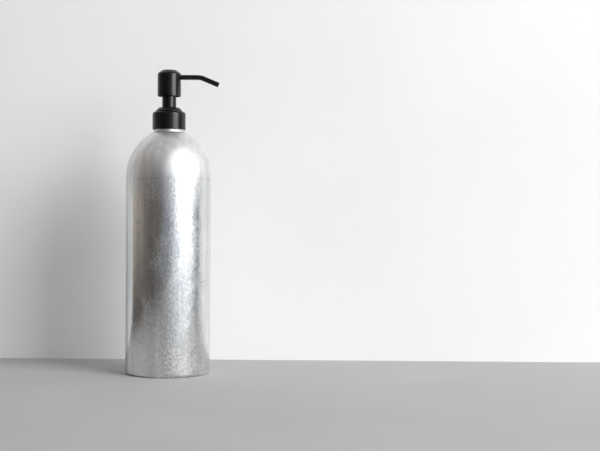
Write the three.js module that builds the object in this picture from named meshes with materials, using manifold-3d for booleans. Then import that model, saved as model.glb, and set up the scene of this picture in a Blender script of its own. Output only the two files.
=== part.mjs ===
// One-litre aluminium soap bottle with a black metal pump dispenser.
// Units are millimetres and +Z is up. The bottle stands on z = 0 and the spout points along +X.
// The origin is the middle of the footprint, which takes in the spout, so the bottle's own
// axis lies a few millimetres towards -X.

import * as THREE from 'three';
import { mergeVertices } from 'three/addons/utils/BufferGeometryUtils.js';
import Module from 'manifold-3d';

const wasm = await Module();
wasm.setup();

// Facets in a full turn
const BOTTLE_FACETS = 48;
const COVER_FACETS = 36;
const INNER_FACETS = 24;
const BORE_FACETS = 16;
const BALL_ROWS = 10;

// How far the chords of an arc may stay inside it: on outer faces, and on faces that are covered
const FINE_SAG = 0.075;
const COARSE_SAG = 0.22;

// How far a cutting solid runs past the face that it cuts
const CUT_MARGIN = 1;

// Clearances: pieces that bear on each other, plain fits, and sliding or turning fits
const REST_GAP = 0.3;
const FIT_GAP = 0.2;
const RUN_GAP = 0.12;

// Bottle: an extruded aluminium can, necked in to a 28 mm screw finish
const BODY_R = 40;
const BODY_WALL = 0.7;
const BASE_WALL = 1.1;
const BASE_RISE = 7;
const HEEL_R = 2.8;
const FOOT_WIDTH = 2.3;
const SHOULDER_Z = 185.1;
const SHOULDER_ARC_R = 49.3;
const NECK_RING_R = 13.8;
const NECK_RING_BOTTOM = 228.7;
const NECK_RING_TOP = 230.8;
const NECK_GROOVE_R = 13.4;
const NECK_GROOVE_DROP = 0.3;
const THREAD_ROOT_R = 12.7;
const MOUTH_Z = 241.7;
const LIP_R = 1.4;
const LIP_CENTRE_R = 11.5;

// Screw collar: a drawn steel cover over a threaded plastic liner
const COLLAR_R = 15.65;
const COLLAR_BOTTOM = 230.4;
const COLLAR_TOP = 247.4;
const COLLAR_ROUND = 2.8;
const COLLAR_HOLE_R = 9.4;
const STEEL = 0.6;
const LINER_BORE_R = 14.1;
const LINER_INSET = 0.8;
const LINER_WEB = 1.6;

// Neck sleeve: a drawn steel cone and tube above the collar
const CONE_BOTTOM_R = 12.6;
const CONE_RIM = 0.4;
const CONE_TOP_R = 10.5;
const CONE_FLAT_R = 9.6;
const CONE_EDGE_DROP = 0.65;
const SLEEVE_R = 6.65;
const SLEEVE_FOOT_Z = 251.1;
const SLEEVE_FILLET = 0.6;
const SLEEVE_TOP = 265.3;

// Pump housing: flange on the bottle's mouth, barrel, lower valve and dip tube socket
const FLANGE_R = 12.9;
const FLANGE_THICK = 1.4;
const GASKET_THICK = 1.0;
const GASKET_BORE_R = 9.7;
const UPPER_BARREL_R = 9.3;
const UPPER_BORE_R = 8.2;
const BARREL_R = 7.5;
const BARREL_BORE_R = 6.25;
const BORE_MOUTH_Z = 234.7;
const SPRING_SHELF_Z = 194.6;
const VALVE_CHAMBER_R = 3.1;
const INLET_R = 1.7;
const INLET_SEAT_Z = 189.2;
const INLET_LENGTH = 1.3;
const SOCKET_R = 4.7;
const SOCKET_BOTTOM = 176.3;
const VENT_R = 0.6;
const VENT_Z = 235.4;

// Chaplet: stem guide, snap skirt in the housing and socket for the head's boss
const GUIDE_BORE_R = 3.7;
const GUIDE_R = 5.0;
const GUIDE_BOTTOM = 234.3;
const SKIRT_R = 8.0;
const SKIRT_BORE_R = 7.0;
const SKIRT_BOTTOM = 236.3;
const CHAPLET_SOCKET_R = 5.2;
const CHAPLET_FLOOR_Z = 251.6;

// Stem, piston and valve balls
const STEM_R = 3.5;
const STEM_BORE_R = 2.1;
const STEM_BOTTOM = 224.2;
const STEM_TOP = 274.3;
const STEM_FLANGE_R = 4.6;
const STEM_FLANGE_THICK = 1.5;
const STEM_RING_R = 4.2;
const STEM_RING_Z = 230.8;
const STEM_RING_HALF = 0.6;
const STEM_RING_BEVEL = 0.25;
const OUTLET_R = 1.5;
const OUTLET_SEAT = 1.0;
const PISTON_LIP_R = 6.13;
const PISTON_WAIST_R = 5.45;
const PISTON_LENGTH = 8.0;
const PISTON_LIP_WIDTH = 0.4;
const PISTON_LIP_LENGTH = 0.8;
const PISTON_WAIST_LENGTH = 2.6;
const PISTON_GROOVE = 1.6;
const INLET_BALL_R = 2.5;
const OUTLET_BALL_R = 2.2;

// Return spring and the slotted disc that it stands on
const WIRE_R = 0.45;
const SPRING_R = 4.2;
const ACTIVE_TURNS = 6;
const CLOSED_TURNS = 1;
const CLOSED_PITCH = 1.2;
const WIRE_SIDES = 6;
const STEPS_PER_TURN = 10;
const DISC_THICK = 2.4;
const DISC_SLOTS = 3;
const DISC_SLOT_INNER_R = 1.6;
const DISC_SLOT_OUTER_R = 2.9;
const DISC_SLOT_DEG = 80;
const DISC_SLOT_STEPS = 6;

// Dip tube
const DIP_TUBE_R = 3.3;
const DIP_TUBE_BORE_R = 2.4;
const DIP_TUBE_BOTTOM = 11.0;
const DIP_TUBE_CUT_DEG = 45;
const CUT_BLOCK = 26;

// Pump head: a drawn steel cup over a moulded core
const HEAD_R = 11.05;
const HEAD_STEEL = 0.7;
const HEAD_BOTTOM = 261.85;
const HEAD_TOP = 286.5;
const HEAD_FLAT_R = 6.9;
const HEAD_BEVEL_R = 10.5;
const HEAD_BEVEL_DROP = 2.7;
const HEAD_EDGE_DROP = 3.9;
const CORE_WALL = 1.1;
const CORE_BOTTOM = 263.5;
const CORE_DECK = 2.6;
const BOSS_R = 4.95;
const BOSS_BOTTOM = 263.8;
const OUTLET_CHAMBER_R = 2.7;
const OUTLET_CHAMBER_TOP = 281.5;
const SPOUT_BOSS_R = 3.6;

// Spout: a straight tube with one gentle bend and a square end
const SPOUT_R = 2.35;
const SPOUT_BORE_R = 1.75;
const SPOUT_Z = 279.9;
const SPOUT_ROOT_X = 5.9;
const SPOUT_CORNER_X = 29.8;
const SPOUT_BEND_R = 15;
const SPOUT_BEND_DEG = 22.5;
const SPOUT_BEND_STEPS = 6;
const SPOUT_TIP_X = 46.6;

// Levels that follow from the stack of flange, gasket and mouth
const GASKET_BOTTOM = MOUTH_Z + REST_GAP;
const FLANGE_BOTTOM = GASKET_BOTTOM + GASKET_THICK + REST_GAP;
const FLANGE_TOP = FLANGE_BOTTOM + FLANGE_THICK;
const DISC_BOTTOM = SPRING_SHELF_Z + FIT_GAP;
const SPRING_BOTTOM = DISC_BOTTOM + DISC_THICK + FIT_GAP;
const SPRING_TOP = STEM_BOTTOM - FIT_GAP;
const PISTON_BOTTOM = STEM_BOTTOM + STEM_FLANGE_THICK + REST_GAP;
const PISTON_TOP = PISTON_BOTTOM + PISTON_LENGTH;

const radians = THREE.MathUtils.degToRad;
const SPOUT_REACH = SPOUT_TIP_X + SPOUT_R * Math.sin(radians(SPOUT_BEND_DEG));
const AXIS_X = (BODY_R - SPOUT_REACH) / 2;

// Materials: one call for each mesh, so that every piece has a material of its own
function material(color, roughness, metalness) {
  return new THREE.MeshStandardMaterial({ color, roughness, metalness });
}
const aluminium = () => material(0xc4c6c8, 0.32, 1);
const blackSteel = () => material(0x141416, 0.42, 0.3);
const blackPlastic = () => material(0x1c1c1e, 0.6, 0);
const whitePlastic = () => material(0xe4e4df, 0.5, 0);
const clearPlastic = () => material(0xd5dadb, 0.35, 0);
const springSteel = () => material(0xa9abad, 0.25, 1);
const rubber = () => material(0x2a2a2a, 0.85, 0);

// Points along an arc in the (radius, height) plane, angles in degrees from the +radius
// direction, in even steps whose chords keep to the given sag
function arc(centreR, centreZ, radius, from, to, sag) {
  const step = 2 * Math.acos(1 - sag / radius);
  const steps = Math.ceil(radians(Math.abs(to - from)) / step);
  const points = [];
  for (let i = 0; i <= steps; i += 1) {
    const angle = radians(from + ((to - from) * i) / steps);
    points.push([centreR + radius * Math.cos(angle), centreZ + radius * Math.sin(angle)]);
  }
  return points;
}

// A solid of revolution about Z. The outline runs up the outside and down the inside,
// and closes on itself unless it starts on the axis.
function revolve(outline, facets) {
  const points = outline.map(([r, z]) => new THREE.Vector2(r, z));
  if (points[0].x > 0) points.push(points[0].clone());
  return new THREE.LatheGeometry(points, facets).rotateX(Math.PI / 2);
}

// A path in the (radius, height) plane moved to its left by a thickness, with mitred corners
function inset(path, thickness) {
  const points = path.map(([r, z]) => new THREE.Vector2(r, z));
  const normals = points.slice(1).map((point, i) => {
    const along = point.clone().sub(points[i]).normalize();
    return new THREE.Vector2(-along.y, along.x);
  });
  return points.map((point, i) => {
    const before = normals[Math.max(i - 1, 0)];
    const after = normals[Math.min(i, normals.length - 1)];
    const mitre = before.clone().add(after);
    mitre.multiplyScalar(thickness / (1 + before.dot(after)));
    return [point.x + mitre.x, point.y + mitre.y];
  });
}

// The outline of a wall of even thickness inside an outer path
function wall(path, thickness) {
  return [...path, ...inset(path, thickness).reverse()];
}

// A round bar along +X at a given height, used to join or bore the head and the housing
function barAlongX(radius, fromX, toX, z) {
  const bar = new THREE.CylinderGeometry(radius, radius, toX - fromX, BORE_FACETS);
  return bar.rotateZ(Math.PI / 2).translate((fromX + toX) / 2, 0, z);
}

// A closed geometry as a solid that can be joined and cut
function toSolid(geometry) {
  const bare = geometry.clone();
  bare.deleteAttribute('normal');
  bare.deleteAttribute('uv');
  const merged = mergeVertices(bare);
  const corners = merged.index.array;
  const triangles = [];
  for (let i = 0; i < corners.length; i += 3) {
    const [a, b, c] = corners.slice(i, i + 3);
    if (a !== b && b !== c && c !== a) triangles.push(a, b, c);
  }
  const vertProperties = merged.attributes.position.array;
  const triVerts = new Uint32Array(triangles);
  return new wasm.Manifold(new wasm.Mesh({ numProp: 3, vertProperties, triVerts }));
}

function toGeometry(solid) {
  const { vertProperties, triVerts } = solid.getMesh();
  const geometry = new THREE.BufferGeometry();
  geometry.setAttribute('position', new THREE.BufferAttribute(vertProperties, 3));
  geometry.setIndex(new THREE.BufferAttribute(triVerts, 1));
  geometry.computeVertexNormals();
  return geometry;
}

function piece(name, geometry, material) {
  const mesh = new THREE.Mesh(geometry, material);
  mesh.name = name;
  return mesh;
}

// Bottle: domed base, foot ring, rounded heel, straight wall, ogive shoulder, neck with rolled lip
function bottle() {
  const footOuterR = BODY_R - HEEL_R;
  const footInnerR = footOuterR - FOOT_WIDTH;
  const domeR = (footInnerR ** 2 + BASE_RISE ** 2) / (2 * BASE_RISE);
  const domeZ = BASE_RISE - domeR;
  const domeRim = THREE.MathUtils.radToDeg(Math.acos(footInnerR / domeR));

  const shoulderR = BODY_R - SHOULDER_ARC_R;
  const grooveZ = NECK_RING_BOTTOM - NECK_GROOVE_DROP;
  const crease = THREE.MathUtils.radToDeg(Math.asin((grooveZ - SHOULDER_Z) / SHOULDER_ARC_R));
  const innerArcR = SHOULDER_ARC_R - BODY_WALL;
  const neckBoreR = THREAD_ROOT_R - BODY_WALL;
  const neckStart = THREE.MathUtils.radToDeg(Math.acos((neckBoreR - shoulderR) / innerArcR));

  const lipZ = MOUTH_Z - LIP_R;
  const ringEdge = NECK_RING_R - THREAD_ROOT_R;

  const outline = [
    ...arc(0, domeZ, domeR, 90, domeRim, FINE_SAG),
    ...arc(footOuterR, HEEL_R, HEEL_R, -90, 0, FINE_SAG),
    ...arc(shoulderR, SHOULDER_Z, SHOULDER_ARC_R, 0, crease, FINE_SAG),
    [NECK_GROOVE_R, grooveZ],
    [NECK_RING_R, NECK_RING_BOTTOM],
    [NECK_RING_R, NECK_RING_TOP],
    [THREAD_ROOT_R, NECK_RING_TOP + ringEdge],
    [THREAD_ROOT_R, lipZ - LIP_R],
    ...arc(LIP_CENTRE_R, lipZ, LIP_R, -30, 180, FINE_SAG),
    [neckBoreR, lipZ - LIP_R],
    ...arc(shoulderR, SHOULDER_Z, innerArcR, neckStart, 0, COARSE_SAG),
    ...arc(footOuterR, HEEL_R, HEEL_R - BODY_WALL, 0, -90, COARSE_SAG),
    ...arc(0, domeZ, domeR + BASE_WALL, domeRim, 90, COARSE_SAG),
  ];
  return piece('bottle', revolve(outline, BOTTLE_FACETS), aluminium());
}

function collarCover() {
  const path = [
    [COLLAR_R, COLLAR_BOTTOM],
    ...arc(COLLAR_R - COLLAR_ROUND, COLLAR_TOP - COLLAR_ROUND, COLLAR_ROUND, 0, 90, FINE_SAG),
    [COLLAR_HOLE_R, COLLAR_TOP],
  ];
  return piece('collar_cover', revolve(wall(path, STEEL), COVER_FACETS), blackSteel());
}

function collarLiner() {
  const roundR = COLLAR_R - COLLAR_ROUND;
  const roundZ = COLLAR_TOP - COLLAR_ROUND;
  const holeR = COLLAR_HOLE_R - RUN_GAP;
  const outerRound = COLLAR_ROUND - STEEL - FIT_GAP;
  const webTop = roundZ + outerRound;
  const outline = [
    [LINER_BORE_R, COLLAR_BOTTOM + LINER_INSET],
    [roundR + outerRound, COLLAR_BOTTOM + LINER_INSET],
    ...arc(roundR, roundZ, outerRound, 0, 90, FINE_SAG),
    [holeR, webTop],
    [holeR, webTop - LINER_WEB],
    [LINER_BORE_R, webTop - LINER_WEB],
  ];
  return piece('collar_liner', revolve(outline, INNER_FACETS), blackPlastic());
}

function neckSleeve() {
  const bottom = COLLAR_TOP + REST_GAP;
  const filletR = SLEEVE_R + SLEEVE_FILLET;
  const filletZ = SLEEVE_FOOT_Z + SLEEVE_FILLET;
  const path = [
    [CONE_BOTTOM_R, bottom],
    [CONE_BOTTOM_R, bottom + CONE_RIM],
    [CONE_TOP_R, SLEEVE_FOOT_Z - CONE_EDGE_DROP],
    [CONE_FLAT_R, SLEEVE_FOOT_Z],
    ...arc(filletR, filletZ, SLEEVE_FILLET, 270, 180, FINE_SAG),
    [SLEEVE_R, SLEEVE_TOP],
  ];
  return piece('neck_sleeve', revolve(wall(path, STEEL), COVER_FACETS), blackSteel());
}

function chaplet() {
  const flangeBottom = COLLAR_TOP + REST_GAP + FIT_GAP;
  const flangeTop = SLEEVE_FOOT_Z - STEEL - REST_GAP;
  const coneFit = STEEL + 2 * REST_GAP;
  const tubeR = SLEEVE_R - STEEL - RUN_GAP;
  const outline = [
    [GUIDE_BORE_R, GUIDE_BOTTOM],
    [GUIDE_R, GUIDE_BOTTOM],
    [GUIDE_R, flangeBottom],
    [SKIRT_BORE_R, flangeBottom],
    [SKIRT_BORE_R, SKIRT_BOTTOM],
    [SKIRT_R, SKIRT_BOTTOM],
    [SKIRT_R, flangeBottom],
    [CONE_BOTTOM_R - coneFit, flangeBottom],
    [CONE_TOP_R - coneFit, flangeTop],
    [tubeR, flangeTop],
    [tubeR, SLEEVE_TOP - REST_GAP],
    [CHAPLET_SOCKET_R, SLEEVE_TOP - REST_GAP],
    [CHAPLET_SOCKET_R, CHAPLET_FLOOR_Z],
    [GUIDE_BORE_R, CHAPLET_FLOOR_Z],
  ];
  return piece('chaplet', revolve(outline, INNER_FACETS), whitePlastic());
}

// Housing: the barrel narrows to the piston bore, the ball seat and the dip tube socket
function housing() {
  const boreStep = UPPER_BORE_R - BARREL_BORE_R;
  const barrelStep = UPPER_BARREL_R - BARREL_R;
  const seatRise = VALVE_CHAMBER_R - INLET_R;
  const socketTop = INLET_SEAT_Z - INLET_LENGTH;
  const socketBoreR = DIP_TUBE_R + RUN_GAP;
  const outline = [
    [socketBoreR, SOCKET_BOTTOM],
    [SOCKET_R, SOCKET_BOTTOM],
    [SOCKET_R, socketTop],
    [BARREL_R, SPRING_SHELF_Z],
    [BARREL_R, BORE_MOUTH_Z - barrelStep],
    [UPPER_BARREL_R, BORE_MOUTH_Z],
    [UPPER_BARREL_R, FLANGE_BOTTOM],
    [FLANGE_R, FLANGE_BOTTOM],
    [FLANGE_R, FLANGE_TOP],
    [UPPER_BORE_R, FLANGE_TOP],
    [UPPER_BORE_R, BORE_MOUTH_Z + boreStep / 2],
    [BARREL_BORE_R, BORE_MOUTH_Z],
    [BARREL_BORE_R, SPRING_SHELF_Z],
    [VALVE_CHAMBER_R, SPRING_SHELF_Z],
    [VALVE_CHAMBER_R, INLET_SEAT_Z + seatRise],
    [INLET_R, INLET_SEAT_Z],
    [INLET_R, socketTop],
    [socketBoreR, socketTop],
  ];
  const barrel = toSolid(revolve(outline, INNER_FACETS));
  const vent = toSolid(barAlongX(VENT_R, BARREL_BORE_R, UPPER_BARREL_R + CUT_MARGIN, VENT_Z));
  return piece('housing', toGeometry(barrel.subtract(vent)), whitePlastic());
}

function gasket() {
  const top = GASKET_BOTTOM + GASKET_THICK;
  const outline = [
    [GASKET_BORE_R, GASKET_BOTTOM],
    [FLANGE_R, GASKET_BOTTOM],
    [FLANGE_R, top],
    [GASKET_BORE_R, top],
  ];
  return piece('gasket', revolve(outline, INNER_FACETS), rubber());
}

// Stem: flange under the spring's push, ring that drives the piston, ball seat at the top
function stem() {
  const flangeTop = STEM_BOTTOM + STEM_FLANGE_THICK;
  const ringBottom = STEM_RING_Z - STEM_RING_HALF;
  const ringTop = STEM_RING_Z + STEM_RING_HALF;
  const seatZ = STEM_TOP - OUTLET_SEAT;
  const throatBottom = seatZ - OUTLET_SEAT;
  const outline = [
    [STEM_BORE_R, STEM_BOTTOM],
    [STEM_FLANGE_R, STEM_BOTTOM],
    [STEM_FLANGE_R, flangeTop],
    [STEM_R, flangeTop],
    [STEM_R, ringBottom],
    [STEM_RING_R, ringBottom + STEM_RING_BEVEL],
    [STEM_RING_R, ringTop - STEM_RING_BEVEL],
    [STEM_R, ringTop],
    [STEM_R, STEM_TOP],
    [OUTLET_R + OUTLET_SEAT, STEM_TOP],
    [OUTLET_R, seatZ],
    [OUTLET_R, throatBottom],
    [STEM_BORE_R, throatBottom - (STEM_BORE_R - OUTLET_R)],
  ];
  return piece('stem', revolve(outline, INNER_FACETS), whitePlastic());
}

// Piston: two flared lips with a waist between, snapped over the stem's ring
function piston() {
  const middle = (PISTON_BOTTOM + PISTON_TOP) / 2;
  const boreR = STEM_R + RUN_GAP;
  const grooveR = STEM_RING_R + RUN_GAP;
  const grooveHalf = STEM_RING_HALF + RUN_GAP;
  const hubR = PISTON_WAIST_R - 2 * PISTON_LIP_WIDTH;
  const lipInnerR = PISTON_LIP_R - PISTON_LIP_WIDTH;
  const waistHalf = PISTON_WAIST_LENGTH / 2;
  const outline = [
    [boreR, PISTON_BOTTOM],
    [hubR, PISTON_BOTTOM],
    [(hubR + lipInnerR) / 2, PISTON_BOTTOM + PISTON_GROOVE],
    [lipInnerR, PISTON_BOTTOM],
    [PISTON_LIP_R, PISTON_BOTTOM],
    [PISTON_LIP_R, PISTON_BOTTOM + PISTON_LIP_LENGTH],
    [PISTON_WAIST_R, middle - waistHalf],
    [PISTON_WAIST_R, middle + waistHalf],
    [PISTON_LIP_R, PISTON_TOP - PISTON_LIP_LENGTH],
    [PISTON_LIP_R, PISTON_TOP],
    [lipInnerR, PISTON_TOP],
    [(hubR + lipInnerR) / 2, PISTON_TOP - PISTON_GROOVE],
    [hubR, PISTON_TOP],
    [boreR, PISTON_TOP],
    [boreR, STEM_RING_Z + grooveHalf],
    [grooveR, STEM_RING_Z + grooveHalf],
    [grooveR, STEM_RING_Z - grooveHalf],
    [boreR, STEM_RING_Z - grooveHalf],
  ];
  return piece('piston', revolve(outline, INNER_FACETS), clearPlastic());
}

// A valve ball on a 45 degree seat whose lower edge is at the given radius and height
function valveBall(name, ballR, seatR, seatZ) {
  const centreZ = seatZ - seatR + Math.SQRT2 * (ballR + RUN_GAP);
  const ball = new THREE.SphereGeometry(ballR, BORE_FACETS, BALL_ROWS);
  return piece(name, ball.rotateX(Math.PI / 2).translate(0, 0, centreZ), springSteel());
}

function ballRetainer() {
  const disc = new THREE.Shape().absarc(0, 0, BARREL_BORE_R - FIT_GAP, 0, 2 * Math.PI);
  const slotAngle = radians(DISC_SLOT_DEG);
  for (let i = 0; i < DISC_SLOTS; i += 1) {
    const start = (2 * Math.PI * i) / DISC_SLOTS;
    const slot = new THREE.Path();
    slot.absarc(0, 0, DISC_SLOT_OUTER_R, start, start + slotAngle, false);
    slot.absarc(0, 0, DISC_SLOT_INNER_R, start + slotAngle, start, true);
    slot.closePath();
    disc.holes.push(slot);
  }
  const settings = { depth: DISC_THICK, bevelEnabled: false, curveSegments: DISC_SLOT_STEPS };
  const plate = new THREE.ExtrudeGeometry(disc, settings);
  return piece('ball_retainer', plate.translate(0, 0, DISC_BOTTOM), whitePlastic());
}

// Centre line of the spring wire: open turns between closed end turns
class SpringPath extends THREE.Curve {
  getPoint(t, target = new THREE.Vector3()) {
    const turns = ACTIVE_TURNS + 2 * CLOSED_TURNS;
    const turn = t * turns;
    const closedRise = CLOSED_TURNS * CLOSED_PITCH;
    const height = SPRING_TOP - SPRING_BOTTOM - 2 * WIRE_R;
    const activePitch = (height - 2 * closedRise) / ACTIVE_TURNS;
    const active = THREE.MathUtils.clamp(turn - CLOSED_TURNS, 0, ACTIVE_TURNS);
    const z = SPRING_BOTTOM + WIRE_R + (turn - active) * CLOSED_PITCH + active * activePitch;
    const angle = 2 * Math.PI * turn;
    return target.set(SPRING_R * Math.cos(angle), SPRING_R * Math.sin(angle), z);
  }
}

function returnSpring() {
  const wire = new THREE.Shape();
  for (let i = 0; i < WIRE_SIDES; i += 1) {
    const angle = (2 * Math.PI * i) / WIRE_SIDES;
    const corner = [WIRE_R * Math.cos(angle), WIRE_R * Math.sin(angle)];
    if (i === 0) wire.moveTo(...corner);
    else wire.lineTo(...corner);
  }
  const steps = (ACTIVE_TURNS + 2 * CLOSED_TURNS) * STEPS_PER_TURN;
  const coil = new THREE.ExtrudeGeometry(wire, { steps, extrudePath: new SpringPath() });
  return piece('return_spring', coil, springSteel());
}

// Dip tube: pushed up into the housing, its lower end cut slanting so that it can't seal on the base
function dipTube() {
  const top = INLET_SEAT_Z - INLET_LENGTH - REST_GAP;
  const tube = revolve(
    [
      [DIP_TUBE_BORE_R, DIP_TUBE_BOTTOM],
      [DIP_TUBE_R, DIP_TUBE_BOTTOM],
      [DIP_TUBE_R, top],
      [DIP_TUBE_BORE_R, top],
    ],
    INNER_FACETS,
  );
  const block = new THREE.BoxGeometry(CUT_BLOCK, CUT_BLOCK, CUT_BLOCK);
  block.translate(CUT_BLOCK / 2, 0, -CUT_BLOCK / 2);
  block.rotateY(-radians(DIP_TUBE_CUT_DEG));
  block.translate(-DIP_TUBE_R, 0, DIP_TUBE_BOTTOM);
  return piece('dip_tube', toGeometry(toSolid(tube).subtract(toSolid(block))), clearPlastic());
}

// Head shell: straight side, narrow edge, straight bevel, flat top, and a round hole for the spout
function headShell() {
  const path = [
    [HEAD_R, HEAD_BOTTOM],
    [HEAD_R, HEAD_TOP - HEAD_EDGE_DROP],
    [HEAD_BEVEL_R, HEAD_TOP - HEAD_BEVEL_DROP],
    [HEAD_FLAT_R, HEAD_TOP],
    [0, HEAD_TOP],
  ];
  const cup = toSolid(revolve(wall(path, HEAD_STEEL), COVER_FACETS));
  const hole = toSolid(barAlongX(SPOUT_R + FIT_GAP, HEAD_FLAT_R, HEAD_R + CUT_MARGIN, SPOUT_Z));
  return piece('head_shell', toGeometry(cup.subtract(hole)), blackSteel());
}

// Head core: deck and skirt inside the shell, a boss on the stem, and a cross boss that holds the spout
function headCore() {
  const skirtR = HEAD_R - HEAD_STEEL - FIT_GAP;
  const skirtInnerR = skirtR - CORE_WALL;
  const deckR = HEAD_FLAT_R - REST_GAP;
  const deckTop = HEAD_TOP - HEAD_STEEL - REST_GAP;
  const deckBottom = deckTop - CORE_DECK;
  const bevelBottom = HEAD_TOP - HEAD_EDGE_DROP - HEAD_STEEL;
  const socketTop = STEM_TOP + FIT_GAP;
  const plug = [
    [0, OUTLET_CHAMBER_TOP],
    [OUTLET_CHAMBER_R, OUTLET_CHAMBER_TOP],
    [OUTLET_CHAMBER_R, socketTop],
    [STEM_R + RUN_GAP, socketTop],
    [STEM_R + RUN_GAP, BOSS_BOTTOM],
    [BOSS_R, BOSS_BOTTOM],
    [skirtInnerR, CORE_BOTTOM],
    [skirtR, CORE_BOTTOM],
    [skirtR, bevelBottom],
    [deckR, deckTop],
    [0, deckTop],
  ];
  const pocket = [
    [BOSS_R, CORE_BOTTOM - CUT_MARGIN],
    [skirtInnerR, CORE_BOTTOM - CUT_MARGIN],
    [skirtInnerR, bevelBottom - CORE_WALL],
    [deckR - CORE_WALL, deckBottom],
    [BOSS_R, deckBottom],
  ];
  const crossBoss = toSolid(barAlongX(SPOUT_BOSS_R, 0, HEAD_R, SPOUT_Z));
  const hollow = toSolid(revolve(pocket, INNER_FACETS)).subtract(crossBoss);
  const channel = toSolid(barAlongX(SPOUT_BORE_R, 0, SPOUT_ROOT_X, SPOUT_Z));
  const socket = toSolid(barAlongX(SPOUT_R + RUN_GAP, SPOUT_ROOT_X - REST_GAP, HEAD_R, SPOUT_Z));
  const core = toSolid(revolve(plug, INNER_FACETS)).subtract(hollow).subtract(channel).subtract(socket);
  return piece('head_core', toGeometry(core), blackPlastic());
}

// Stations along the spout as [x, z, slope]: straight, round the bend, straight
function spoutStations() {
  const bend = radians(SPOUT_BEND_DEG);
  const bendX = SPOUT_CORNER_X - SPOUT_BEND_R * Math.tan(bend / 2);
  const stations = [[SPOUT_ROOT_X, SPOUT_Z, 0]];
  for (let i = 0; i <= SPOUT_BEND_STEPS; i += 1) {
    const slope = (bend * i) / SPOUT_BEND_STEPS;
    const x = bendX + SPOUT_BEND_R * Math.sin(slope);
    const z = SPOUT_Z - SPOUT_BEND_R * (1 - Math.cos(slope));
    stations.push([x, z, slope]);
  }
  const tipZ = SPOUT_Z - (SPOUT_TIP_X - SPOUT_CORNER_X) * Math.tan(bend);
  stations.push([SPOUT_TIP_X, tipZ, bend]);
  return stations;
}

// A ring of points square to the tube at one station
function ringAt([x, z, slope], radius) {
  const points = [];
  for (let i = 0; i < BORE_FACETS; i += 1) {
    const angle = (2 * Math.PI * i) / BORE_FACETS;
    const up = radius * Math.cos(angle);
    points.push(x + up * Math.sin(slope), radius * Math.sin(angle), z + up * Math.cos(slope));
  }
  return points;
}

// Spout: rings out along the outside and back along the bore, joined all round
function spout() {
  const stations = spoutStations();
  const outside = stations.map((station) => ringAt(station, SPOUT_R));
  const bore = stations.map((station) => ringAt(station, SPOUT_BORE_R)).reverse();
  const rings = [...outside, ...bore];
  const corners = [];
  for (let i = 0; i < rings.length; i += 1) {
    const here = i * BORE_FACETS;
    const ahead = ((i + 1) % rings.length) * BORE_FACETS;
    for (let j = 0; j < BORE_FACETS; j += 1) {
      const k = (j + 1) % BORE_FACETS;
      corners.push(here + j, ahead + j, ahead + k);
      corners.push(here + j, ahead + k, here + k);
    }
  }
  const tube = new THREE.BufferGeometry();
  tube.setAttribute('position', new THREE.Float32BufferAttribute(rings.flat(), 3));
  tube.setIndex(corners);
  tube.computeVertexNormals();
  return piece('spout', tube, blackSteel());
}

const collar = new THREE.Group();
collar.add(collarCover(), collarLiner());

const pump = new THREE.Group();
pump.add(housing(), gasket(), chaplet(), neckSleeve(), dipTube());
pump.add(ballRetainer(), returnSpring());
pump.add(valveBall('inlet_ball', INLET_BALL_R, INLET_R, INLET_SEAT_Z));

const head = new THREE.Group();
head.add(headShell(), headCore(), spout(), stem(), piston());
head.add(valveBall('outlet_ball', OUTLET_BALL_R, OUTLET_R, STEM_TOP - OUTLET_SEAT));

const soapBottle = new THREE.Group();
soapBottle.add(bottle(), collar, pump, head);
soapBottle.position.x = AXIS_X;

export default soapBottle;
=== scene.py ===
import math

import bmesh
import bpy
from mathutils import Matrix, Vector


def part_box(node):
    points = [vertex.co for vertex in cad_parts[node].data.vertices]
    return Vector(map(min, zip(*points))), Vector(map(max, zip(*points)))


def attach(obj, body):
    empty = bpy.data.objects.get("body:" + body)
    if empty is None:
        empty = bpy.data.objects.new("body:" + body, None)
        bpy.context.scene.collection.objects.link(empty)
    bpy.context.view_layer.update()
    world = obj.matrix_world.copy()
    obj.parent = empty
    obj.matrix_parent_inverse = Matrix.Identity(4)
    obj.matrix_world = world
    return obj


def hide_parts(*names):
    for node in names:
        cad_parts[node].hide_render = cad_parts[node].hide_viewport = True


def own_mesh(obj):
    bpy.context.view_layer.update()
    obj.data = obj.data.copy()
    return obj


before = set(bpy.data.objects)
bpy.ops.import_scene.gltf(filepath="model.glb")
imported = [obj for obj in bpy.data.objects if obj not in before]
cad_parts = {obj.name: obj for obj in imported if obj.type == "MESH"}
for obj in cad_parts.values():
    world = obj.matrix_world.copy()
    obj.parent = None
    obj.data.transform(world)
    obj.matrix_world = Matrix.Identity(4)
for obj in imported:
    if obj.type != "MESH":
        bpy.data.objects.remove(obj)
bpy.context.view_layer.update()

# Lengths are metres. The bottle's axis and the outer sizes come from the frame.
MM = 0.001
bottle_low, bottle_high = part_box("bottle")
collar_low, collar_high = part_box("collar_cover")
sleeve_low, sleeve_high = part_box("neck_sleeve")
head_low, head_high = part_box("head_shell")
spout_low, spout_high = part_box("spout")
spring_low, spring_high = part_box("return_spring")
AXIS = Vector(((bottle_low.x + bottle_high.x) / 2, 0, 0))

# Bottle
BODY_R = (bottle_high.x - bottle_low.x) / 2
MOUTH_Z = bottle_high.z
WALL = 0.7 * MM
BASE_WALL = 1.1 * MM
BASE_RISE = 7.0 * MM
HEEL_R = 2.8 * MM
FOOT_WIDTH = 2.3 * MM
SHOULDER_Z = 185.1 * MM
SHOULDER_ARC_R = 49.3 * MM
NECKING_Z = 183.2 * MM

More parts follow.
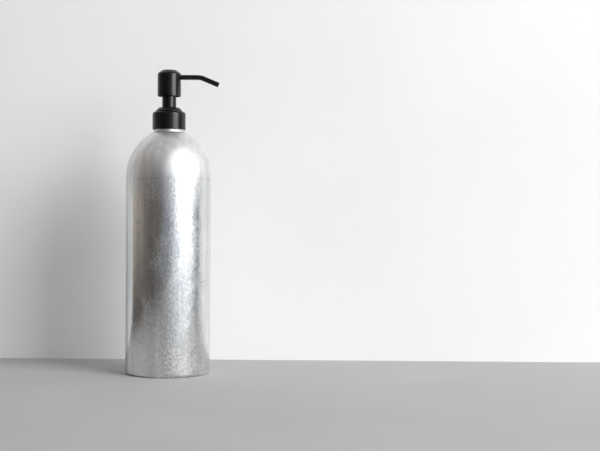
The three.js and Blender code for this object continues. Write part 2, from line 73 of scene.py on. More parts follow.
# Bottle's neck: groove over the shoulder, ring, threaded stretch and rolled lip
NECK_GROOVE_R = 13.4 * MM
NECK_GROOVE_DROP = 0.3 * MM
NECK_RING_R = 13.8 * MM
NECK_RING_BOTTOM = 228.7 * MM
NECK_RING_TOP = 230.8 * MM
NECK_RING_EDGE = 0.15 * MM
NECK_ROUND = 0.5 * MM
SHOULDER_END_R = NECK_GROOVE_R + 1.5 * MM
SHOULDER_END_RUN = 2.2 * MM
SHOULDER_END_RISE = 0.9 * MM
THREAD_ROOT_R = 12.7 * MM
THREAD_CREST_R = 13.75 * MM
NECK_BORE_R = THREAD_ROOT_R - WALL
LIP_R = 1.4 * MM
LIP_CENTRE_R = 11.5 * MM
LIP_START = -40

# Screw thread of the neck and of the collar's liner
PITCH = 4.233 * MM
THREAD_ROOT_WIDTH = 2.0 * MM
THREAD_CREST_WIDTH = 0.9 * MM
THREAD_RUNOUT_TURNS = 1 / 6
THREAD_END_HEIGHT = 0.05
THREAD_SUNK = 0.1
NECK_THREAD_Z = 233.3 * MM
NECK_THREAD_START = 0.0
NECK_THREAD_TURNS = 1.1
LINER_BORE_R = 14.1 * MM
LINER_CREST_R = 13.05 * MM
LINER_THREAD_Z = NECK_THREAD_Z + PITCH / 2
LINER_THREAD_START = -0.7
LINER_THREAD_TURNS = 1.8

# Screw collar, neck sleeve and pump head, all of drawn sheet steel
STEEL = 0.6 * MM
RIM_CUT = 0.3
COLLAR_ROUND = 2.8 * MM
COLLAR_HOLE_R = 9.4 * MM
CONE_RIM = 0.4 * MM
CONE_RIM_ROUND = 0.2 * MM
CONE_TOP_R = 10.5 * MM
CONE_FLAT_R = 9.6 * MM
CONE_EDGE_DROP = 0.65 * MM
CONE_ROUND = 0.5 * MM
SLEEVE_R = 6.65 * MM
SLEEVE_FOOT_Z = 251.1 * MM
SLEEVE_FILLET = 0.6 * MM
HEAD_STEEL = 0.7 * MM
HEAD_FLAT_R = 6.9 * MM
HEAD_BEVEL_R = 10.5 * MM
HEAD_BEVEL_DROP = 2.7 * MM
HEAD_BEVEL_ROUND = 0.3 * MM
HEAD_EDGE_DROP = 3.9 * MM
HEAD_EDGE_ROUND = 0.8 * MM

# Spout, whose centre line is straight from its root to the bend and straight again to its tip
SPOUT_R = spout_high.y
SPOUT_BORE_R = 1.75 * MM
SPOUT_LIP_ROUND = 0.25 * MM
SPOUT_HOLE_GAP = 0.2 * MM
SPOUT_Z = spout_high.z - SPOUT_R
SPOUT_ROOT = spout_low.x - AXIS.x
SPOUT_CORNER = 29.8 * MM
SPOUT_BEND = math.radians(22.5)
SPOUT_BEND_R = 15 * MM
SPOUT_BEND_LENGTH = SPOUT_BEND_R * SPOUT_BEND
SPOUT_BEND_REACH = SPOUT_BEND_R * math.tan(SPOUT_BEND / 2)
SPOUT_STRAIGHT = SPOUT_CORNER - SPOUT_BEND_REACH - SPOUT_ROOT

# Return spring
WIRE_R = 0.45 * MM
SPRING_R = 4.2 * MM
ACTIVE_TURNS = 6
CLOSED_TURNS = 1
CLOSED_PITCH = 1.2 * MM

# Mesh fineness
BODY_SEGMENTS = 192
COVER_SEGMENTS = 128
TUBE_SEGMENTS = 48
WIRE_SEGMENTS = 10
SPRING_STEPS_PER_TURN = 40
THREAD_STEPS_PER_TURN = 80
CORNER_STEPS = 6
DOME_STEPS = 16
HEEL_STEPS = 12
SHOULDER_STEPS = 40
LIP_STEPS = 16
INNER_SHOULDER_STEPS = 24
INNER_HEEL_STEPS = 8
INNER_DOME_STEPS = 10
COLLAR_STEPS = 14
BEND_STEPS = 16
SCREEN_STEPS = 48
SMOOTH_ANGLE = math.radians(40)
WELD_DISTANCE = 0.001 * MM
ON_AXIS = 1e-7

# Wear of the bare aluminium, strongest on the two sides by which the bottle is held
HELD_SIDE = Vector((0.34, -0.94, 0))
SATIN_START_Z = NECKING_Z - 30 * MM
SATIN_FULL_Z = NECKING_Z + 8 * MM
CREASE_RELIEF_WIDTH = 0.5 * MM
# Width of the band of painted shade that darkens the colour along the necking crease
CREASE_SHADE_WIDTH = 0.6 * MM
SPECK_DEPTH = 0.13 * MM

# Photograph's camera, placed from the bottle's axis on the floor
CAMERA_PLACE = Vector((0.1246, -1.154, 0.1544))
CAMERA_LENS = 73.1
CAMERA_SENSOR = 36
CAMERA_PITCH = math.radians(-0.683)
CAMERA_ROLL = math.radians(0.42)

# Stage: floor and wall, their greys, and the distances over which they fade out
WALL_Y = 0.105
WALL_TOP = 1.2
STAGE_SIDE = 1.2
FLOOR_FRONT = -1.0
FLOOR_GREYS = (0.46, 0.49)
WALL_GREYS = (0.87, 0.90)
STAGE_CENTRE = Vector((0.12, -0.15, 0.0))
FLOOR_FADE = (0.42, 0.56)
WALL_FADE = (0.60, 0.90)

# Light: a window, an even room, and a screen whose brightness goes by azimuth, in degrees from the
# front. Its light is warm up to WARM_SIDE and cool from there on.
WINDOW_AZIMUTH = math.radians(54)
WINDOW_DISTANCE = 2.6
WINDOW_SIZE = (1.6, 2.0)
WINDOW_FOOT = 0.40
WINDOW_WATTS = 82
ROOM_COLOR = (1.0, 0.99, 0.98)
ROOM_LEVEL = 0.45
SCREEN_R = 3.0
SCREEN_FOOT = -0.9
SCREEN_DUSK = (-0.30, 0.18)
SCREEN_DUSK_LEVEL = 0.2
SCREEN_FADE = (1.7, 4.0)
SCREEN_LEVELS = (
    (-118, 0.42), (-85, 0.34), (-62, 0.25), (-46, 0.13), (-18, 0.16), (0, 0.29), (14, 0.56),
    (28, 1.05), (50, 1.40), (66, 1.2), (80, 0.60), (94, 0.18), (108, 0.40),
)
WARM_SIDE = -10
WARM_LIGHT = (1.07, 0.955, 0.86)
COOL_LIGHT = (0.915, 0.985, 1.10)
WINDOW_LIGHT = (1.0, 0.98, 0.935)

# Sockets of the Mix node, which has one pair for numbers and another for colours
MIX_FACTOR = 0
MIX_NUMBERS = (2, 3)
MIX_NUMBER_RESULT = 0
MIX_COLORS = (6, 7)
MIX_COLOR_RESULT = 2


def circle(count):
    """Cosine and sine of evenly spaced angles round a full turn."""
    angles = [2 * math.pi * k / count for k in range(count)]
    return [(math.cos(angle), math.sin(angle)) for angle in angles]


def arc(centre_r, centre_z, radius, start, end, steps):
    """Points along an arc in the (radius, height) plane, angles in degrees."""
    points = []
    for i in range(steps + 1):
        angle = math.radians(start + (end - start) * i / steps)
        r = centre_r + radius * math.cos(angle)
        z = centre_z + radius * math.sin(angle)
        points.append(Vector((r, z)))
    return points


def rounded(corners):
    """A path whose corners (r, z, radius) are rounded off to that radius."""
    points = []
    for i, (r, z, radius) in enumerate(corners):
        here = Vector((r, z))
        if radius == 0:
            points.append(here)
            continue
        before = (Vector(corners[i - 1][:2]) - here).normalized()
        after = (Vector(corners[(i + 1) % len(corners)][:2]) - here).normalized()
        half = before.angle(after) / 2
        centre = here + (before + after).normalized() * radius / math.sin(half)
        start = here + before * radius / math.tan(half) - centre
        end = here + after * radius / math.tan(half) - centre
        sweep = start.angle(end)
        for k in range(CORNER_STEPS + 1):
            share = k / CORNER_STEPS
            near = math.sin((1 - share) * sweep) / math.sin(sweep)
            far = math.sin(share * sweep) / math.sin(sweep)
            points.append(centre + start * near + end * far)
    return points


def inset(path, thickness):
    """An open path moved to its left by a sheet's thickness, with mitred corners."""
    normals = []
    for here, there in zip(path, path[1:]):
        along = (there - here).normalized()
        normals.append(Vector((-along.y, along.x)))
    moved = []
    for i, point in enumerate(path):
        before = normals[max(i - 1, 0)]
        after = normals[min(i, len(normals) - 1)]
        moved.append(point + (before + after) * thickness / (1 + before.dot(after)))
    return moved


def bridge(low, high):
    """Faces between two rings of points, one of which may be a single point."""
    faces = []
    count = max(len(low), len(high))
    for k in range(count):
        n = (k + 1) % count
        corners = (low[k % len(low)], low[n % len(low)], high[n % len(high)], high[k % len(high)])
        faces.append(tuple(dict.fromkeys(corners)))
    return faces


def finish_mesh(name, verts, faces, material):
    """An object from mesh data, smooth except at real corners."""
    mesh = bpy.data.meshes.new(name)
    mesh.from_pydata(verts, [], faces)
    mesh.validate()
    mesh.shade_smooth()
    mesh.set_sharp_from_angle(angle=SMOOTH_ANGLE)
    mesh.materials.append(material)
    piece = bpy.data.objects.new(name, mesh)
    bpy.context.collection.objects.link(piece)
    return piece


def lathe(name, outline, segments, material):
    """A solid of revolution about the bottle's axis from a closed outline of (r, z)."""
    verts, rings, faces = [], [], []
    for r, z in outline:
        around = circle(segments if r > ON_AXIS else 1)
        rings.append(range(len(verts), len(verts) + len(around)))
        for cos, sin in around:
            verts.append(AXIS + Vector((r * cos, r * sin, z)))
    for low, high in zip(rings, rings[1:] + rings[:1]):
        if len(low) > 1 or len(high) > 1:
            faces += bridge(low, high)
    return finish_mesh(name, verts, faces, material)


def swept(name, sections, material):
    """A solid through sections round the axis, each an angle and its outline of (r, z)."""
    verts, rings, faces = [], [], []
    for angle, outline in sections:
        rings.append(range(len(verts), len(verts) + len(outline)))
        for r, z in outline:
            verts.append(AXIS + Vector((r * math.cos(angle), r * math.sin(angle), z)))
    for low, high in zip(rings, rings[1:]):
        faces += bridge(low, high)
    faces.append(tuple(reversed(rings[0])))
    faces.append(tuple(rings[-1]))
    return finish_mesh(name, verts, faces, material)


def even_normals(piece):
    """Keeps flat stretches flat beside their rounded edges."""
    modifier = piece.modifiers.new("even normals", "WEIGHTED_NORMAL")
    modifier.keep_sharp = True


def rim(start, end, beyond):
    """A sheet's cut edge from start to end with its corners taken off."""
    across = (end - start).normalized()
    away = (beyond - end).normalized()
    cut = (end - start).length * RIM_CUT
    first = start + away * cut
    last = end + away * cut
    return [first, start + across * cut, end - across * cut, last]


def sheet_metal(name, outer, thickness, material):
    """A drawn sheet part: the outer path, its inside, and rims at the ends that are open."""
    inner = inset(outer, thickness)
    outline = [*rim(inner[0], outer[0], outer[1]), *outer[1:-1]]
    if outer[-1].x > 0:
        outline += rim(outer[-1], inner[-1], inner[-2])
    else:
        outline += [outer[-1], inner[-1]]
    outline += inner[-2:0:-1]
    piece = lathe(name, outline, COVER_SEGMENTS, material)
    even_normals(piece)
    return piece


def place(piece, body, slot, *nodes):
    """Puts a finished piece on its body, in place of CAD nodes; its slot argument is not used."""
    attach(piece, body)
    if nodes:
        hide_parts(*nodes)


def bottle(material):
    """One-piece bottle: domed base, heel, body, ogive shoulder, neck and rolled lip, then its inside."""
    foot_outer = BODY_R - HEEL_R
    foot_inner = foot_outer - FOOT_WIDTH
    dome_r = (foot_inner ** 2 + BASE_RISE ** 2) / (2 * BASE_RISE)
    dome_z = BASE_RISE - dome_r
    dome_rim = math.degrees(math.acos(foot_inner / dome_r))
    shoulder_r = BODY_R - SHOULDER_ARC_R
    shoulder_end = math.degrees(math.acos((SHOULDER_END_R - shoulder_r) / SHOULDER_ARC_R))
    inner_arc_r = SHOULDER_ARC_R - WALL
    neck_start = math.degrees(math.acos((NECK_BORE_R - shoulder_r) / inner_arc_r))
    lip_z = MOUTH_Z - LIP_R
    ring_slope = NECK_RING_R - THREAD_ROOT_R
    groove_z = NECK_RING_BOTTOM - NECK_GROOVE_DROP

    neck = rounded([
        (NECK_GROOVE_R + SHOULDER_END_RUN, groove_z - SHOULDER_END_RISE, 0),
        (NECK_GROOVE_R, groove_z, NECK_ROUND),
        (NECK_RING_R, NECK_RING_BOTTOM, NECK_RING_EDGE),
        (NECK_RING_R, NECK_RING_TOP, NECK_ROUND),
        (THREAD_ROOT_R, NECK_RING_TOP + ring_slope, NECK_ROUND),
        (THREAD_ROOT_R, lip_z - LIP_R, 0),
    ])[1:]
    outline = [
        *arc(0, dome_z, dome_r, 90, dome_rim, DOME_STEPS),
        *arc(foot_outer, HEEL_R, HEEL_R, -90, 0, HEEL_STEPS),
        *arc(shoulder_r, SHOULDER_Z, SHOULDER_ARC_R, 0, shoulder_end, SHOULDER_STEPS),
        *neck,
        *arc(LIP_CENTRE_R, lip_z, LIP_R, LIP_START, 180, LIP_STEPS),
        Vector((NECK_BORE_R, lip_z - LIP_R)),
        *arc(shoulder_r, SHOULDER_Z, inner_arc_r, neck_start, 0, INNER_SHOULDER_STEPS),
        *arc(foot_outer, HEEL_R, HEEL_R - WALL, 0, -90, INNER_HEEL_STEPS),
        *arc(0, dome_z, dome_r + BASE_WALL, dome_rim, 90, INNER_DOME_STEPS),
    ]
    return lathe("bottle_shell", outline, BODY_SEGMENTS, material)


def collar(material):
    """Cover of the screw collar, with a round shoulder and a hole for the sleeve."""
    centre_r = collar_high.x - AXIS.x - COLLAR_ROUND
    centre_z = collar_high.z - COLLAR_ROUND
    outer = [
        Vector((centre_r + COLLAR_ROUND, collar_low.z)),
        *arc(centre_r, centre_z, COLLAR_ROUND, 0, 90, COLLAR_STEPS),
        Vector((COLLAR_HOLE_R, collar_high.z)),
    ]
    return sheet_metal("collar_shell", outer, STEEL, material)


def sleeve(material):
    """Cone over the collar that goes over into the sleeve round the stem."""
    cone_r = sleeve_high.x - AXIS.x
    outer = rounded([
        (cone_r, sleeve_low.z, 0),
        (cone_r, sleeve_low.z + CONE_RIM, CONE_RIM_ROUND),
        (CONE_TOP_R, SLEEVE_FOOT_Z - CONE_EDGE_DROP, CONE_ROUND),
        (CONE_FLAT_R, SLEEVE_FOOT_Z, CONE_ROUND),
        (SLEEVE_R, SLEEVE_FOOT_Z, SLEEVE_FILLET),
        (SLEEVE_R, sleeve_high.z, 0),
    ])
    return sheet_metal("neck_cone", outer, STEEL, material)


def head(material):
    """Cup of the pump head, bevelled at the top and bored for the spout."""
    head_r = head_high.x - AXIS.x
    top = head_high.z
    outer = rounded([
        (head_r, head_low.z, 0),
        (head_r, top - HEAD_EDGE_DROP, HEAD_EDGE_ROUND),
        (HEAD_BEVEL_R, top - HEAD_BEVEL_DROP, HEAD_BEVEL_ROUND),
        (HEAD_FLAT_R, top, HEAD_BEVEL_ROUND),
        (0, top, 0),
    ])
    piece = sheet_metal("head_cap", outer, HEAD_STEEL, material)
    drill(piece, SPOUT_R + SPOUT_HOLE_GAP, head_r)
    return piece


def drill(piece, radius, depth):
    """Bores the spout's round hole through the near side of a piece."""
    verts = []
    for x in (HEAD_FLAT_R, HEAD_FLAT_R + depth):
        for cos, sin in circle(TUBE_SEGMENTS):
            verts.append(AXIS + Vector((x, radius * cos, SPOUT_Z + radius * sin)))
    near = range(TUBE_SEGMENTS)
    far = range(TUBE_SEGMENTS, 2 * TUBE_SEGMENTS)
    faces = [*bridge(near, far), tuple(reversed(near)), tuple(far)]
    cutter = finish_mesh("cutter", verts, faces, piece.data.materials[0])
    cut = piece.modifiers.new("spout hole", "BOOLEAN")
    cut.operation = "DIFFERENCE"
    cut.solver = "EXACT"
    cut.object = cutter
    evaluated = piece.evaluated_get(bpy.context.evaluated_depsgraph_get())
    bored = bpy.data.meshes.new_from_object(evaluated)
    weld(bored)
    piece.modifiers.clear()
    piece.data = bored
    even_normals(piece)
    bpy.data.objects.remove(cutter)


def weld(mesh):
    """Joins points closer than a thousandth of a millimetre and drops faces with no area."""
    form = bmesh.new()
    form.from_mesh(mesh)
    bmesh.ops.remove_doubles(form, verts=form.verts, dist=WELD_DISTANCE)
    bmesh.ops.dissolve_degenerate(form, dist=WELD_DISTANCE, edges=form.edges)
    form.to_mesh(mesh)
    form.free()


def spout_frame(s):
    """Place and slope of the spout's centre line at a distance s from its root."""
    slope = min(max((s - SPOUT_STRAIGHT) / SPOUT_BEND_R, 0), SPOUT_BEND)
    past = max(s - SPOUT_STRAIGHT - SPOUT_BEND_LENGTH, 0)
    x = SPOUT_ROOT + min(s, SPOUT_STRAIGHT) + SPOUT_BEND_R * math.sin(slope)
    z = SPOUT_Z - SPOUT_BEND_R * (1 - math.cos(slope))
    return x + past * math.cos(slope), z - past * math.sin(slope), slope


def spout(material):
    """Bent tube with a rounded lip and an open bore."""
    tip_x = spout_high.x - AXIS.x - SPOUT_R * math.sin(SPOUT_BEND)
    bend_end = SPOUT_STRAIGHT + SPOUT_BEND_LENGTH
    length = bend_end + (tip_x - SPOUT_CORNER) / math.cos(SPOUT_BEND) - SPOUT_BEND_REACH
    stops = [SPOUT_STRAIGHT + SPOUT_BEND_LENGTH * k / BEND_STEPS for k in range(BEND_STEPS + 1)]
    lip = rounded([
        (bend_end, SPOUT_R, 0),
        (length, SPOUT_R, SPOUT_LIP_ROUND),
        (length, SPOUT_BORE_R, SPOUT_LIP_ROUND),
        (bend_end, SPOUT_BORE_R, 0),
    ])[1:-1]
    outside = [Vector((s, SPOUT_R)) for s in [0, *stops]]
    bore = [Vector((s, SPOUT_BORE_R)) for s in [*reversed(stops), 0]]
    verts, rings, faces = [], [], []
    for s, radius in outside + lip + bore:
        x, z, slope = spout_frame(s)
        rings.append(range(len(verts), len(verts) + TUBE_SEGMENTS))
        for cos, sin in circle(TUBE_SEGMENTS):
            up = radius * cos
            side = radius * sin
            verts.append(AXIS + Vector((x + up * math.sin(slope), side, z + up * math.cos(slope))))
    for here, ahead in zip(rings, rings[1:] + rings[:1]):
        faces += bridge(ahead, here)
    piece = finish_mesh("spout_tube", verts, faces, material)
    even_normals(piece)
    return piece


def thread(name, root_r, crest_r, zero_z, start_turn, turns, material):
    """A screw thread's ridge that runs out at both ends; zero_z is its height at turn 0."""
    sunk_r = root_r - THREAD_SUNK * (crest_r - root_r)
    root = THREAD_ROOT_WIDTH / 2
    crest = THREAD_CREST_WIDTH / 2
    steps = round(turns * THREAD_STEPS_PER_TURN)
    sections = []
    for i in range(steps + 1):
        done = turns * i / steps
        runout = min(1, done / THREAD_RUNOUT_TURNS, (turns - done) / THREAD_RUNOUT_TURNS)
        top_r = root_r + (crest_r - root_r) * max(runout, THREAD_END_HEIGHT)
        z = zero_z + PITCH * (start_turn + done)
        ridge = [(sunk_r, z - root), (top_r, z - crest), (top_r, z + crest), (sunk_r, z + root)]
        if crest_r > root_r:
            ridge.reverse()
        sections.append((2 * math.pi * (start_turn + done), ridge))
    return swept(name, sections, material)


def spring(material):
    """The return spring: open turns between closed ends."""
    height = spring_high.z - spring_low.z - 2 * WIRE_R
    pitch = (height - 2 * CLOSED_TURNS * CLOSED_PITCH) / ACTIVE_TURNS
    turns = ACTIVE_TURNS + 2 * CLOSED_TURNS
    steps = turns * SPRING_STEPS_PER_TURN
    sections = []
    for i in range(steps + 1):
        turn = turns * i / steps
        active = min(max(turn - CLOSED_TURNS, 0), ACTIVE_TURNS)
        z = spring_low.z + WIRE_R + (turn - active) * CLOSED_PITCH + active * pitch
        wire = [(SPRING_R - WIRE_R * cos, z + WIRE_R * sin) for cos, sin in circle(WIRE_SEGMENTS)]
        sections.append((2 * math.pi * turn, wire))
    return swept("spring_coil", sections, material)


def new_material(name):
    """A node material, its tree and its main shader."""
    material = bpy.data.materials.new(name)
    material.use_nodes = True
    tree = material.node_tree
    return material, tree, tree.nodes["Principled BSDF"]


def add(tree, kind, inputs, **settings):
    """A node with its settings, and each input linked to a socket or set to a value."""
    node = tree.nodes.new(kind)
    for key, value in settings.items():
        setattr(node, key, value)
    for key, value in inputs.items():
        if isinstance(value, bpy.types.NodeSocket):
            tree.links.new(value, node.inputs[key])
        else:
            node.inputs[key].default_value = value
    return node


def object_place(tree, upright=1.0):
    """Object coordinates from the bottle's axis, with heights scaled by upright."""
    coords = add(tree, "ShaderNodeTexCoord", {})
    mapping = add(tree, "ShaderNodeMapping", {
        "Vector": coords.outputs["Object"], "Location": -AXIS, "Scale": (1, 1, upright)})
    return mapping.outputs["Vector"]


def noise(tree, where, scale, detail=2.0, roughness=0.6):
    """A noise between 0 and 1, mostly between 0.3 and 0.7."""
    node = add(tree, "ShaderNodeTexNoise", {
        "Vector": where, "Scale": scale, "Detail": detail, "Roughness": roughness})
    return node.outputs["Fac"]


def spread(tree, value, low=0.0, high=1.0, start=0.3, end=0.7):
    """Goes from low to high as a value goes from start to end."""
    node = add(tree, "ShaderNodeMapRange", {
        "Value": value, "From Min": start, "From Max": end, "To Min": low, "To Max": high})
    return node.outputs["Result"]


def maths(tree, operation, *values):
    """The result of an operation on values or sockets."""
    node = add(tree, "ShaderNodeMath", dict(enumerate(values)), operation=operation)
    return node.outputs[0]


def between(tree, share, first, second):
    """A number between two values or sockets."""
    inputs = {MIX_FACTOR: share, MIX_NUMBERS[0]: first, MIX_NUMBERS[1]: second}
    return add(tree, "ShaderNodeMix", inputs).outputs[MIX_NUMBER_RESULT]


def tint(tree, share, first, second):
    """A colour between two, each given as a tuple or a socket."""
    inputs = {MIX_FACTOR: share}
    for socket, color in zip(MIX_COLORS, (first, second)):
        inputs[socket] = (*color, 1) if isinstance(color, tuple) else color
    return add(tree, "ShaderNodeMix", inputs, data_type="RGBA").outputs[MIX_COLOR_RESULT]


def bump(tree, height, strength, distance):
    """A normal that follows a height."""
    node = add(tree, "ShaderNodeBump", {
        "Height": height, "Strength": strength, "Distance": distance})
    return node.outputs["Normal"]


def dress(tree, shader, color, roughness, normal):
    """Links a shader's colour, roughness and normal."""
    tree.links.new(color, shader.inputs["Base Color"])
    tree.links.new(roughness, shader.inputs["Roughness"])
    tree.links.new(normal, shader.inputs["Normal"])


def aluminium():
    """Bare drawn aluminium: draw lines up the body, specks where it is held, a satin shoulder."""
    material, tree, shader = new_material("bare aluminium")
    where = object_place(tree)
    height = add(tree, "ShaderNodeSeparateXYZ", {"Vector": where}).outputs["Z"]
    lines = noise(tree, object_place(tree, upright=0.012), scale=1300, detail=3)
    streaks = noise(tree, object_place(tree, upright=0.04), scale=150, detail=3)
    specks = noise(tree, object_place(tree, upright=0.45), scale=1000)
    patches = noise(tree, object_place(tree, upright=0.5), scale=75, detail=4)
    grain = noise(tree, where, scale=1700, roughness=0.7)

    # How far a place is worn, and how far it lies in the satin stretch and on the shoulder
    satin = spread(tree, height, start=SATIN_START_Z, end=SATIN_FULL_Z)
    shoulder = spread(tree, height, start=NECKING_Z, end=SATIN_FULL_Z)
    facing = add(tree, "ShaderNodeVectorMath", {
        0: where, 1: HELD_SIDE / BODY_R}, operation="DOT_PRODUCT").outputs["Value"]
    held = maths(tree, "ADD", maths(tree, "ABSOLUTE", facing), spread(tree, patches, low=-0.4, high=0.4))
    worn = spread(tree, maths(tree, "SUBTRACT", held, shoulder), start=0.4, end=1.2)

    # Roughness: polished lines, scuffs where worn, satin at the top
    polished = spread(tree, lines, low=0.11, high=0.18)
    scuffed = spread(tree, grain, low=0.30, high=0.40)
    roughness = between(tree, worn, polished, scuffed)
    roughness = between(tree, satin, roughness, spread(tree, grain, low=0.42, high=0.50))

    # Relief: specks, draw lines, and the crease where the shoulder was necked in
    crease = maths(tree, "ABSOLUTE", maths(tree, "SUBTRACT", height, NECKING_Z))
    relief = maths(tree, "MULTIPLY", specks, worn)
    relief = maths(tree, "ADD", relief, maths(tree, "MULTIPLY", lines, 0.3))
    dip = spread(tree, crease, low=0.15, high=0.0, start=0, end=CREASE_RELIEF_WIDTH)
    relief = maths(tree, "SUBTRACT", relief, dip)

    # Tone: streaks, specks where worn, and painted shade along the crease that comes and goes
    speckled = between(tree, 0.3, spread(tree, specks, start=0.43, end=0.57), spread(tree, lines))
    tone = between(tree, worn, spread(tree, streaks, low=0.3), speckled)
    tone = between(tree, shoulder, tone, spread(tree, streaks, low=0.5, high=0.9))
    # Painted shade: the colour is darkened in a narrow band along the necking crease, in patches
    crease_shade = spread(tree, crease, low=0.35, high=0.0, start=0, end=CREASE_SHADE_WIDTH)
    crease_shade = maths(tree, "MULTIPLY", crease_shade, spread(tree, patches))
    tone = maths(tree, "SUBTRACT", tone, crease_shade)

    shader.inputs["Metallic"].default_value = 1.0
    dress(
        tree, shader,
        color=tint(tree, tone, (0.46, 0.465, 0.47), (0.97, 0.975, 0.98)),
        roughness=roughness,
        normal=bump(tree, relief, strength=1.0, distance=SPECK_DEPTH),
    )
    return material


def black_steel():
    """Satin black coat on steel, with a fine even grain."""
    material, tree, shader = new_material("black coated steel")
    where = object_place(tree)
    grain = noise(tree, where, scale=3800)
    smears = noise(tree, where, scale=130, detail=3)
    roughness = spread(tree, grain, low=0.17, high=0.23)
    shader.inputs["Specular IOR Level"].default_value = 0.38
    dress(
        tree, shader,
        color=tint(tree, spread(tree, smears), (0.0015, 0.0015, 0.0017), (0.003, 0.003, 0.0032)),
        roughness=maths(tree, "ADD", roughness, spread(tree, smears, high=0.05)),
        normal=bump(tree, grain, strength=0.10, distance=0.02 * MM),
    )
    return material


def moulded(name, dark, pale, smooth, rough):
    """Moulded plastic or rubber: faint colour clouds and a fine matt grain."""
    material, tree, shader = new_material(name)
    where = object_place(tree)
    grain = noise(tree, where, scale=2600)
    clouds = noise(tree, where, scale=90, roughness=0.5)
    dress(
        tree, shader,
        color=tint(tree, spread(tree, clouds), dark, pale),
        roughness=spread(tree, grain, low=smooth, high=rough),
        normal=bump(tree, grain, strength=0.12, distance=0.02 * MM),
    )
    return material


def bright_steel():
    """Polished steel wire and balls, with faint marks."""
    material, tree, shader = new_material("bright steel")
    marks = noise(tree, object_place(tree), scale=2200)
    shader.inputs["Metallic"].default_value = 1.0
    dress(
        tree, shader,
        color=tint(tree, spread(tree, marks), (0.52, 0.53, 0.54), (0.66, 0.67, 0.68)),
        roughness=spread(tree, marks, low=0.16, high=0.28),
        normal=bump(tree, marks, strength=0.08, distance=0.01 * MM),
    )
    return material


def grey(level):
    """A colour with all parts the same."""
    return (level, level, level)


def stage_paint(name, dark, pale):
    """Matt pale paint with a faint unevenness between two greys."""
    material, tree, shader = new_material(name)
    coords = add(tree, "ShaderNodeTexCoord", {}).outputs["Object"]
    clouds = noise(tree, coords, scale=7, detail=3, roughness=0.5)
    color = tint(tree, spread(tree, clouds), grey(dark), grey(pale))
    tree.links.new(color, shader.inputs["Base Color"])
    shader.inputs["Roughness"].default_value = 0.85
    shader.inputs["Specular IOR Level"].default_value = 0.2
    return material, tree, shader


def veil(tree, shader, share):
    """Lets a share of the rays pass straight through a stage surface."""
    clear = add(tree, "ShaderNodeBsdfTransparent", {})
    mixed = add(tree, "ShaderNodeMixShader", {
        0: share, 1: shader.outputs["BSDF"], 2: clear.outputs["BSDF"]})
    tree.links.new(mixed.outputs["Shader"], tree.nodes["Material Output"].inputs["Surface"])


def fade_out(tree, edge):
    """Grows from 0 to 1 over a range of distances from the stage's centre."""
    coords = add(tree, "ShaderNodeTexCoord", {}).outputs["Object"]
    distance = add(tree, "ShaderNodeVectorMath", {
        0: coords, 1: STAGE_CENTRE}, operation="DISTANCE").outputs["Value"]
    start, end = edge
    return spread(tree, distance, start=start, end=end)


def floor_material():
    """Pale floor that fades out all round."""
    material, tree, shader = stage_paint("pale floor", *FLOOR_GREYS)
    veil(tree, shader, fade_out(tree, FLOOR_FADE))
    return material


def wall_material():
    """Pale wall that fades out all round and that a camera behind it looks through."""
    material, tree, shader = stage_paint("pale wall", *WALL_GREYS)
    behind = add(tree, "ShaderNodeNewGeometry", {}).outputs["Backfacing"]
    camera_ray = add(tree, "ShaderNodeLightPath", {}).outputs["Is Camera Ray"]
    seen_through = maths(tree, "MULTIPLY", behind, camera_ray)
    veil(tree, shader, maths(tree, "MAXIMUM", seen_through, fade_out(tree, WALL_FADE)))
    return material


def stage_sheet(name, path, material):
    """A sheet drawn out sideways from a path of two points (y, z)."""
    verts = [Vector((side * STAGE_SIDE, y, z)) for y, z in path for side in (-1, 1)]
    finish_mesh(name, verts, [(0, 1, 3, 2)], material)


def stage():
    """Floor under the bottle and wall behind it."""
    stage_sheet("floor", [(FLOOR_FRONT, 0), (WALL_Y, 0)], floor_material())
    stage_sheet("wall", [(WALL_Y, 0), (WALL_Y, WALL_TOP)], wall_material())


def screen_material(start, end):
    """A glow that follows the screen's levels by azimuth from start to end.

    It sinks towards the foot, and at the top it is the room's.
    """
    material = bpy.data.materials.new("room_side")
    material.use_nodes = True
    tree = material.node_tree
    tree.nodes.clear()
    where = add(tree, "ShaderNodeSeparateXYZ", {"Vector": object_place(tree)}).outputs
    forward = maths(tree, "MULTIPLY", where["Y"], -1)
    azimuth = maths(tree, "ARCTAN2", where["X"], forward)
    ramp = add(tree, "ShaderNodeValToRGB", {0: spread(tree, azimuth, start=start, end=end)})
    elements = ramp.color_ramp.elements
    while len(elements) < len(SCREEN_LEVELS):
        elements.new(1.0)
    for element, (angle, level) in zip(elements, SCREEN_LEVELS):
        light = WARM_LIGHT if angle < WARM_SIDE else COOL_LIGHT
        element.position = (math.radians(angle) - start) / (end - start)
        element.color = (*(level * part for part in light), 1)
    rise = spread(tree, where["Z"], start=SCREEN_FADE[0], end=SCREEN_FADE[1])
    dusk = spread(tree, where["Z"], low=SCREEN_DUSK_LEVEL, start=SCREEN_DUSK[0], end=SCREEN_DUSK[1])
    color = tint(tree, rise, ramp.outputs["Color"], grey(ROOM_LEVEL))
    glow = add(tree, "ShaderNodeEmission", {"Color": color, "Strength": dusk})
    output = add(tree, "ShaderNodeOutputMaterial", {})
    tree.links.new(glow.outputs["Emission"], output.inputs["Surface"])
    return material


def room_screen():
    """The room in front of the bottle: a curved screen that light and reflections meet."""
    start = math.radians(SCREEN_LEVELS[0][0])
    end = math.radians(SCREEN_LEVELS[-1][0])
    verts, faces = [], []
    for i in range(SCREEN_STEPS + 1):
        angle = start + (end - start) * i / SCREEN_STEPS
        for z in (SCREEN_FOOT, SCREEN_FADE[1]):
            verts.append(AXIS + Vector((SCREEN_R * math.sin(angle), -SCREEN_R * math.cos(angle), z)))
    for i in range(SCREEN_STEPS):
        faces.append((2 * i, 2 * i + 2, 2 * i + 3, 2 * i + 1))
    screen = finish_mesh("room_side", verts, faces, screen_material(start, end))
    screen.visible_camera = False


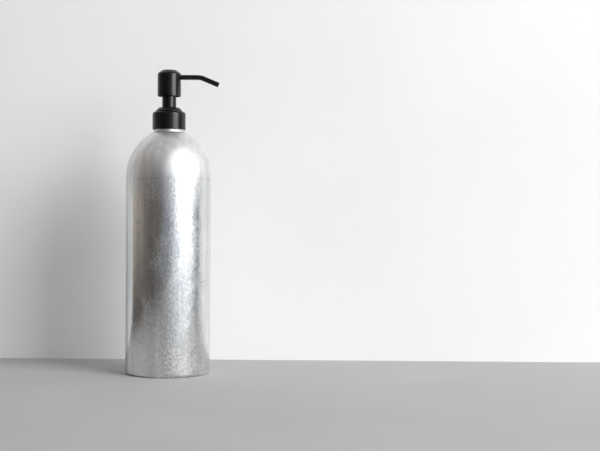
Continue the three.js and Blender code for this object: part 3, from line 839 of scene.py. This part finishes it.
def window():
    """Area lamp that faces the bottle from the right."""
    width, height = WINDOW_SIZE
    lamp = bpy.data.lights.new("window", "AREA")
    lamp.shape = "RECTANGLE"
    lamp.size = width
    lamp.size_y = height
    lamp.energy = WINDOW_WATTS
    lamp.color = WINDOW_LIGHT
    lamp_object = bpy.data.objects.new("window", lamp)
    bpy.context.collection.objects.link(lamp_object)
    towards = Vector((math.sin(WINDOW_AZIMUTH), -math.cos(WINDOW_AZIMUTH), 0))
    middle = Vector((0, 0, WINDOW_FOOT + height / 2))
    lamp_object.location = AXIS + towards * WINDOW_DISTANCE + middle
    lamp_object.rotation_euler = (-towards).to_track_quat("-Z", "Y").to_euler()
    lamp_object.visible_camera = False


def room_light():
    """Even light from all round."""
    world = bpy.data.worlds.new("room")
    world.use_nodes = True
    background = world.node_tree.nodes["Background"]
    background.inputs["Color"].default_value = (*ROOM_COLOR, 1)
    background.inputs["Strength"].default_value = ROOM_LEVEL
    bpy.context.scene.world = world


def camera():
    """The photograph's view."""
    data = bpy.data.cameras.new("camera")
    data.lens = CAMERA_LENS
    data.sensor_width = CAMERA_SENSOR
    view = bpy.data.objects.new("camera", data)
    bpy.context.collection.objects.link(view)
    tilt = Matrix.Rotation(math.radians(90) + CAMERA_PITCH, 4, "X")
    roll = Matrix.Rotation(CAMERA_ROLL, 4, "Z")
    view.matrix_world = Matrix.Translation(AXIS + CAMERA_PLACE) @ tilt @ roll
    bpy.context.scene.camera = view


def paint(material, *nodes):
    """Gives shown CAD nodes their material."""
    for node in nodes:
        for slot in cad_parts[node].material_slots:
            slot.material = material


bare = aluminium()
black = black_steel()
steel = bright_steel()
white_plastic = moulded("white plastic", (0.74, 0.74, 0.71), (0.80, 0.80, 0.77), 0.38, 0.52)
clear_plastic = moulded("natural plastic", (0.64, 0.67, 0.67), (0.72, 0.75, 0.75), 0.26, 0.38)
dark_plastic = moulded("black plastic", (0.022, 0.022, 0.024), (0.034, 0.034, 0.036), 0.45, 0.62)
seal_rubber = moulded("seal rubber", (0.035, 0.035, 0.035), (0.06, 0.06, 0.06), 0.7, 0.9)

place(bottle(bare), "bottle", "bare_aluminium", "bottle")
neck_thread = thread(
    "neck_thread", THREAD_ROOT_R, THREAD_CREST_R,
    NECK_THREAD_Z, NECK_THREAD_START, NECK_THREAD_TURNS, bare,
)
place(neck_thread, "bottle", "bare_aluminium")
place(collar(black), "collar", "black_steel", "collar_cover")
liner_thread = thread(
    "liner_thread", LINER_BORE_R, LINER_CREST_R,
    LINER_THREAD_Z, LINER_THREAD_START, LINER_THREAD_TURNS, dark_plastic,
)
place(liner_thread, "collar", "black_plastic")
place(sleeve(black), "pump", "black_steel", "neck_sleeve")
place(head(black), "head", "black_steel", "head_shell")
place(spout(black), "head", "black_steel", "spout")

coil = spring(steel)
place(coil, "pump", "bright_steel", "return_spring")
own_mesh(coil)

paint(white_plastic, "chaplet", "housing", "ball_retainer", "stem")
paint(clear_plastic, "dip_tube", "piston")
paint(steel, "inlet_ball", "outlet_ball")
paint(dark_plastic, "collar_liner", "head_core")
paint(seal_rubber, "gasket")

stage()
room_screen()
window()
room_light()
camera()
bpy.context.scene.view_settings.view_transform = "Standard"
